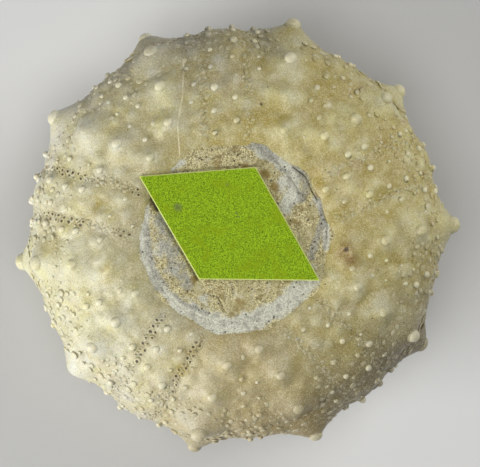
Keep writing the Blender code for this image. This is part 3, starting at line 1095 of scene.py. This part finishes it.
CREAM = srgb(204, 199, 158)
KHAKI = srgb(174, 160, 92)
ROSY = srgb(182, 166, 130)
MILKY = srgb(222, 221, 188)
OLIVE = srgb(150, 137, 84)
PAINTED_SHADE = srgb(96, 87, 60)
STAIN = srgb(158, 140, 36)
WARM = srgb(166, 144, 94)
RUSTY = srgb(136, 104, 52)
VEIL = srgb(208, 204, 166)
SLATE_AND_SHADE = srgb(112, 113, 106)
PALE = srgb(232, 224, 190)
SHADE = srgb(140, 125, 82)
SPECK = srgb(84, 62, 34)
BEAD = srgb(232, 227, 200)
DARK_DOT_AND_SHADE = srgb(64, 50, 30)

# Shades that multiply the calcite's colour.
YELLOWER = (1.0, 0.97, 0.68, 1.0)
BLUER = (0.97, 1.0, 1.2, 1.0)
COOLER = (1.04, 1.07, 1.35, 1.0)
CHALKIER = (1.09, 1.1, 1.35, 1.0)
DEEPER = (1.0, 0.97, 0.8, 1.0)

# How far light spreads in the calcite, how much of it does, and how that goes by colour.
CALCITE_DEPTH = 0.1 * MM
GRAIN_DEPTH = 0.03 * MM
SPREAD_SHARE = 0.6
SPREAD_BY_COLOR = (1.0, 0.8, 0.5)

SAND = srgb(180, 170, 124)
SAND_RANGE = srgb(112, 98, 58), srgb(240, 230, 178)
CLAY = srgb(136, 120, 70)
SILT = srgb(196, 192, 168)
CHALK_RANGE = srgb(164, 163, 146), srgb(224, 223, 204)
CHALK_SHADE = srgb(150, 147, 132)
GREY_RANGE = srgb(118, 116, 106), srgb(184, 182, 166)
BROWN_STAIN = srgb(140, 116, 52)
BLACK_SPECK = srgb(46, 36, 28)
PAINTED_CRACK_AND_PAPER_SHADE = srgb(50, 38, 24)

GREEN_RANGE = srgb(80, 108, 6), srgb(156, 191, 26)
GREEN_BLOTCH = srgb(130, 150, 0)
GREEN_SMUDGE = srgb(98, 104, 66)
EDGE_HIGHLIGHT = srgb(222, 228, 140)
FLOOR_COLOR = (0.6, 0.6, 0.59, 1)


class Nodes:
    """Short calls that add nodes to one material: sizes in millimetres, the colour in layers."""

    def __init__(self, name, color):
        self.material = bpy.data.materials.new(name)
        self.material.use_nodes = True
        self.tree = self.material.node_tree
        self.shader = self.tree.nodes["Principled BSDF"]
        self.place = self.tree.nodes.new("ShaderNodeTexCoord").outputs["Object"]
        self.color = color

    def feed(self, socket, value):
        if isinstance(value, bpy.types.NodeSocket):
            self.tree.links.new(value, socket)
        else:
            socket.default_value = value

    def add(self, kind, inputs, **settings):
        node = self.tree.nodes.new(kind)
        for name, value in settings.items():
            setattr(node, name, value)
        for key, value in inputs.items():
            self.feed(node.inputs[key], value)
        return node

    def mask(self, name):
        return self.add("ShaderNodeAttribute", {}, attribute_name=name).outputs["Fac"]

    def noise(self, size, seed, detail=3, roughness=0.55):
        """Soft noise round 0.5 with lumps of about this size."""
        inputs = {"Vector": self.place, "W": seed, "Scale": 1 / (size * MM)}
        inputs.update({"Detail": detail, "Roughness": roughness})
        return self.add("ShaderNodeTexNoise", inputs, noise_dimensions="4D").outputs["Fac"]

    def dots(self, size, low, high):
        """Round dots, one in each cell of this size, from 0 outside high to 1 inside low."""
        cells = self.add("ShaderNodeTexVoronoi", {"Vector": self.place, "Scale": 1 / (size * MM)})
        return self.ramp(cells.outputs["Distance"], high, low)

    def math(self, operation, first, second=0):
        return self.add("ShaderNodeMath", {0: first, 1: second}, operation=operation).outputs[0]

    def times(self, first, second):
        return self.math("MULTIPLY", first, second)

    def plus(self, first, second):
        return self.math("ADD", first, second)

    def ragged(self, noise, strength):
        """This noise round 0, to be added to a mask so that its edge is broken up."""
        return self.times(self.math("SUBTRACT", noise, 0.5), strength)

    def ramp(self, value, low, high, to_low=0, to_high=1):
        inputs = {"Value": value, "From Min": low, "From Max": high}
        inputs.update({"To Min": to_low, "To Max": to_high})
        return self.add("ShaderNodeMapRange", inputs, interpolation_type="SMOOTHSTEP").outputs[0]

    def mix(self, factor, first, second, blend="MIX"):
        inputs = {0: factor, 6: first, 7: second}
        return self.add("ShaderNodeMix", inputs, data_type="RGBA", blend_type=blend).outputs[2]

    def lay(self, factor, shade, blend="MIX"):
        """Mixes this shade into the colour so far."""
        self.color = self.mix(factor, self.color, shade, blend)

    def tint(self, shade, value, low, high, strength=1, blend="MIX"):
        """Lays this shade on, up to this strength, as the value goes from low to high."""
        self.lay(self.ramp(value, low, high, 0, strength), shade, blend)

    def bump(self, height, distance, normal=None):
        inputs = {"Height": height, "Distance": distance * MM, "Strength": 1}
        if normal is not None:
            inputs["Normal"] = normal
        return self.add("ShaderNodeBump", inputs).outputs["Normal"]

    def finish(self, **surface):
        """Feeds the colour and these inputs to the surface's shader."""
        self.feed(self.shader.inputs["Base Color"], self.color)
        for name, value in surface.items():
            self.feed(self.shader.inputs[name.replace("_", " ")], value)
        return self.material


def calcite_material(name, depth):
    """Waxy fossil calcite; depth is how far light spreads in it."""
    n = Nodes(name, CREAM)
    khaki = n.mask("khaki")
    middling = n.noise(0.8, 2, 4)
    fine = n.noise(0.14, 3, 6, 0.75)
    grain = n.noise(0.05, 9, 3, 0.7)
    blotch = n.noise(0.55, 10, 6, 0.65)
    warmth = n.noise(0.9, 11, 4)
    # The broad colour: cream to khaki, whiter where it is high and worn, in clouds and patches.
    n.tint(KHAKI, n.plus(khaki, n.ragged(middling, 1.1)), 0.1, 0.95)
    n.tint(ROSY, n.noise(2.4, 1), 0.5, 0.7, 0.4)
    n.tint(MILKY, n.plus(n.mask("high"), n.times(middling, 0.7)), 0.4, 1.15, 0.65)
    n.tint(MILKY, blotch, 0.52, 0.56, 0.22)
    clouds = n.times(n.ramp(n.noise(1.3, 13, 4, 0.6), 0.5, 0.6), n.ramp(khaki, 0.45, 0.9))
    patches = n.times(n.mask("veil"), n.ramp(middling, 0.38, 0.55, 0.4, 1))
    n.lay(n.math("MAXIMUM", n.times(clouds, 0.5), n.times(patches, 0.8)), VEIL)
    n.tint(OLIVE, blotch, 0.47, 0.42, 0.2)
    n.tint(YELLOWER, warmth, 0.5, 0.64, 0.6, "MULTIPLY")
    n.tint(BLUER, warmth, 0.5, 0.36, 0.6, "MULTIPLY")
    # The sides of the test, with painted shade over the middle on the lit side and on the rim of
    # the shaded sides, and the pore zones.
    n.lay(n.times(n.mask("inner"), 0.3), PAINTED_SHADE)
    hollow = n.times(n.mask("zone"), n.ramp(middling, 0.35, 0.6))
    n.lay(n.times(hollow, 0.28), SHADE)
    n.lay(n.times(n.mask("painted_shade_rim"), 1.4), PAINTED_SHADE)
    n.lay(n.times(n.mask("warm"), 0.5), WARM)
    n.lay(n.mask("cool"), COOLER, "MULTIPLY")
    n.lay(n.mask("chalky"), CHALKIER, "MULTIPLY")
    n.tint(DEEPER, khaki, 0.6, 0.95, blend="MULTIPLY")
    # Stains and grey sugary patches that are partly painted shade, then the fine grain, specks,
    # beads, the hairline, and the dark dots with painted shade in the pores and round the
    # tubercles' feet.
    n.lay(n.times(n.mask("sugary"), n.ramp(fine, 0.42, 0.56, 0.2, 1)), SLATE_AND_SHADE)
    n.lay(n.times(n.mask("ochre"), n.ramp(n.noise(0.35, 4, 5, 0.75), 0.38, 0.55, 0.3, 1)), STAIN)
    n.lay(n.times(n.mask("rust"), n.ramp(fine, 0.4, 0.6, 0.6, 1)), RUSTY)
    n.tint(PALE, fine, 0.52, 0.68, 0.28)
    n.tint(SHADE, fine, 0.46, 0.34, 0.26)
    n.tint(PALE, grain, 0.5, 0.6, 0.4)
    n.tint(SHADE, grain, 0.5, 0.4, 0.4)
    speck = n.times(n.dots(0.5, 0.05, 0.11), n.ramp(n.noise(1.1, 8), 0.5, 0.6))
    n.lay(n.times(speck, 0.8), SPECK)
    n.lay(n.times(n.mask("bead"), 0.62), BEAD)
    hairline = n.ramp(n.math("ABSOLUTE", n.mask("hairline")), 0.04, 0.01)
    n.lay(n.times(hairline, n.ramp(n.noise(0.5, 12, 4), 0.42, 0.52, 0.25, 0.8)), PALE)
    # Dark dots, and painted shade in the pores and round the tubercles' feet.
    n.tint(DARK_DOT_AND_SHADE, n.mask("pit"), 0.15, 0.75, 0.92)
    return n.finish(
        Roughness=n.ramp(n.noise(0.3, 5, 4), 0.3, 0.7, 0.32, 0.55),
        Subsurface_Weight=SPREAD_SHARE,
        Subsurface_Radius=SPREAD_BY_COLOR,
        Subsurface_Scale=depth,
        Normal=n.bump(n.noise(0.25, 7, 4, 0.6), 0.04, n.bump(n.noise(0.07, 6, 3, 0.7), 0.018)),
    )


def sediment_material():
    """Sand with chalky, grey and brown parts, all with ragged edges."""
    n = Nodes("sediment", SAND_RANGE[0])
    edge = n.ragged(n.noise(0.5, 1, 5, 0.65), 1.6)
    grains = n.noise(0.055, 2, 3, 0.8)
    lumps = n.noise(0.32, 9, 4, 0.6)
    n.tint(SAND_RANGE[1], grains, 0.38, 0.62)
    n.tint(SAND, n.noise(0.9, 3, 4), 0.45, 0.65, 0.6)
    n.tint(CLAY, lumps, 0.52, 0.64, 0.75)
    n.tint(SILT, lumps, 0.44, 0.32, 0.6)
    chalk = n.mix(n.ramp(grains, 0.36, 0.6), *CHALK_RANGE)
    chalk = n.mix(n.ramp(lumps, 0.52, 0.62, 0, 0.6), chalk, CHALK_SHADE)
    n.tint(chalk, n.plus(n.mask("chalk"), edge), 0.35, 0.75)
    grey = n.mix(n.ramp(grains, 0.4, 0.6), *GREY_RANGE)
    n.tint(grey, n.plus(n.mask("grey"), edge), 0.4, 0.85, 0.8)
    n.tint(BROWN_STAIN, n.plus(n.mask("brown"), edge), 0.4, 0.9, 0.8)
    speck = n.times(n.dots(0.26, 0.1, 0.24), n.ramp(n.noise(0.5, 8), 0.42, 0.54))
    n.lay(n.times(speck, 0.9), BLACK_SPECK)
    # Painted shade in the cracks, and the paper's painted shadow beside its left and top edges.
    n.tint(PAINTED_CRACK_AND_PAPER_SHADE, n.plus(n.mask("crack"), edge), 0.5, 1, 0.9)
    normal = n.bump(n.noise(0.3, 6, 4, 0.6), 0.05, n.bump(grains, 0.06))
    return n.finish(Roughness=0.85, Normal=normal)


def paper_material():
    """Matt green paper with fibres, smudges and a painted highlight along its cut edge."""
    n = Nodes("green_paper", GREEN_RANGE[0])
    fibres = n.noise(0.055, 1, 4, 0.8)
    n.tint(GREEN_RANGE[1], fibres, 0.4, 0.58)
    n.tint(GREEN_BLOTCH, n.noise(0.6, 2, 4), 0.48, 0.66, 0.6)
    n.tint(GREEN_SMUDGE, n.plus(n.mask("smudge"), n.times(fibres, 0.5)), 0.6, 1.25, 0.7)
    # A painted highlight along the cut edges.
    n.tint(EDGE_HIGHLIGHT, n.mask("edge"), 0.05, 0.03, 0.8)
    return n.finish(Roughness=0.8, Specular_IOR_Level=0.2, Normal=n.bump(fibres, 0.02))


def floor_material():
    return Nodes("floor", FLOOR_COLOR).finish(Roughness=0.9)


# ---------------- light, camera and floor

def soft_light(name, azimuth, elevation, size, power):
    """A round soft light, looking at the object from this direction in degrees."""
    data = bpy.data.lights.new(name, "AREA")
    data.shape = "DISK"
    data.size = size
    data.energy = power
    obj = linked(name, data)
    turn, rise = math.radians(azimuth), math.radians(elevation)
    way = Vector((math.cos(turn) * math.cos(rise), math.sin(turn) * math.cos(rise), math.sin(rise)))
    obj.location = way * LIGHT_DISTANCE + Vector((0, 0, AMBITUS_HEIGHT))
    obj.rotation_euler = way.to_track_quat("Z", "Y").to_euler()


def make_camera(shift):
    """Straight down from far away, on the same middle and with the same frame as the photo."""
    data = bpy.data.cameras.new("camera")
    obj = linked("camera", data)
    bpy.context.scene.camera = obj
    data.lens = CAMERA_LENS
    data.sensor_width = CAMERA_SENSOR
    data.clip_start, data.clip_end = CAMERA_CLIP
    width = PHOTO_WIDTH / PIXELS_PER_MM * MM
    x = shift.x + (PHOTO_WIDTH / 2 - AXIS_PIXEL[0]) / PIXELS_PER_MM * MM
    y = shift.y + (AXIS_PIXEL[1] - PHOTO_HEIGHT / 2) / PIXELS_PER_MM * MM
    obj.location = (x, y, AMBITUS_HEIGHT + width * CAMERA_LENS / CAMERA_SENSOR)


def make_floor():
    half = FLOOR_HALF
    corners = [(-half, -half, 0), (half, -half, 0), (half, half, 0), (-half, half, 0)]
    data = bpy.data.meshes.new("floor")
    data.from_pydata(corners, [], [(0, 1, 2, 3)])
    floor = linked("floor", data)
    floor.data.materials.append(floor_material())


def make_world():
    world = bpy.data.worlds.new("world")
    bpy.context.scene.world = world
    world.use_nodes = True
    world.node_tree.nodes["Background"].inputs["Strength"].default_value = WORLD_STRENGTH


def dress(piece, material, shift):
    """Puts a piece in its place on the part, with its material."""
    piece.location = shift
    piece.data.materials.append(material)
    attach(piece, "root")


def shift_to_cad():
    """From the test's axis to the CAD's origin: the paper's box shows how far."""
    low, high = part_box("paper_marker")
    xs, ys = zip(*PAPER_CORNERS)
    x = (low[0] + high[0]) / 2 - (min(xs) + max(xs)) / 2
    y = (low[1] + high[1]) / 2 - (min(ys) + max(ys)) / 2
    return Vector((x, y, 0))


def main():
    shift = shift_to_cad()
    shell = make_shell()
    calcite = calcite_material("calcite", CALCITE_DEPTH)
    dress(shell, calcite, shift)
    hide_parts("test")
    for make in (make_knobs, make_beads):
        dress(make(), calcite, shift)
    small_calcite = calcite_material("calcite_grains", GRAIN_DEPTH)
    for make in (make_pores, make_plugs):
        dress(make(), small_calcite, shift)
    near, far = GRANULE_ENDS
    mouth_side = "granules_mouth_side", near, AMBITUS_ARC, SEED + 2
    far_side = "granules_far_side", AMBITUS_ARC, ARC[-1] - far, SEED + 4
    for side in (mouth_side, far_side):
        dress(make_granules(*side), small_calcite, shift)
    sediment = make_sediment()
    dress(sediment, sediment_material(), shift)
    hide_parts("sediment_fill")
    paper = make_paper()
    dress(paper, paper_material(), shift)
    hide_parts("paper_marker")
    make_camera(shift)
    make_floor()
    make_world()
    for light in LIGHTS:
        soft_light(*light)
    bpy.context.scene.view_settings.view_transform = "Standard"


main()
